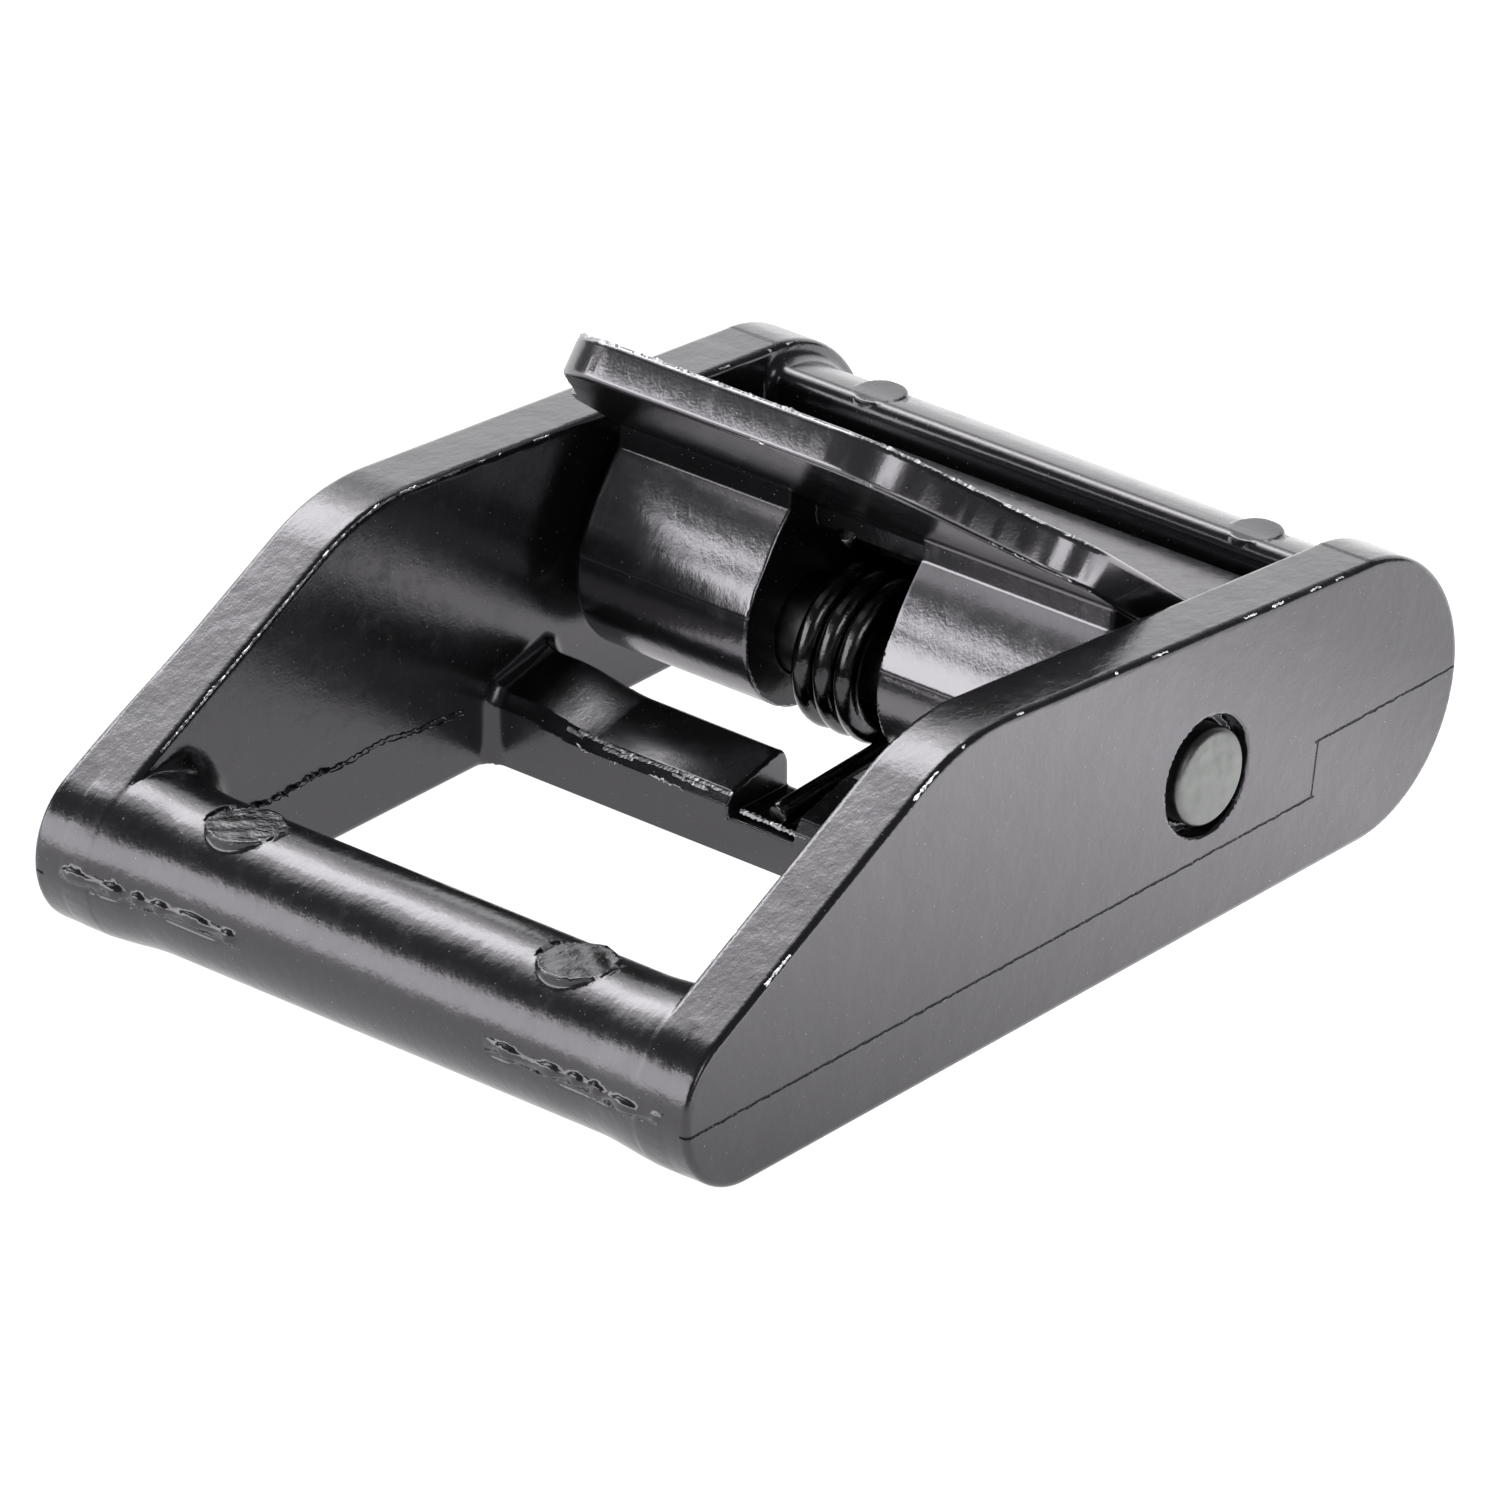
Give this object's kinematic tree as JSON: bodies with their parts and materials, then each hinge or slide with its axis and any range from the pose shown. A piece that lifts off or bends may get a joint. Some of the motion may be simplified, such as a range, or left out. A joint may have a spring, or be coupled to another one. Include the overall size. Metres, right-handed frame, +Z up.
{
  "type": "cam buckle",
  "caption": "Cast cam buckle for webbing: a flat frame with cross bars and a sprung toothed cam lever that turns on a steel pin.",
  "frame": {"origin": "on the surface that the buckle stands on, under the middle of its outer size", "axes": "+X across the webbing, +Y from the round front bar towards the rear bar, +Z up"},
  "size_m": [0.0322, 0.0444, 0.0206],
  "materials": {
    "frame": "glossy black coat over a die casting",
    "lever": "glossy black coat over a die casting",
    "pin": "plain turned steel, dull ends",
    "spring": "dark blued spring wire"
  },
  "bodies": {
    "frame": {"frame": "frame", "pivot_pin": "pin", "torsion_spring": "spring"},
    "lever": {"cam_lever": "lever"}
  },
  "joints": [
    {"name": "lever_hinge", "type": "hinge", "parent": "frame", "child": "lever", "pos_m": [0, 0.00725, 0.00631], "axis": [1, 0, 0], "range_deg": [0, 40], "stiffness_Nm_per_rad": 0.15, "springref_deg": -40.11, "deforming": ["torsion_spring"]}
  ]
}
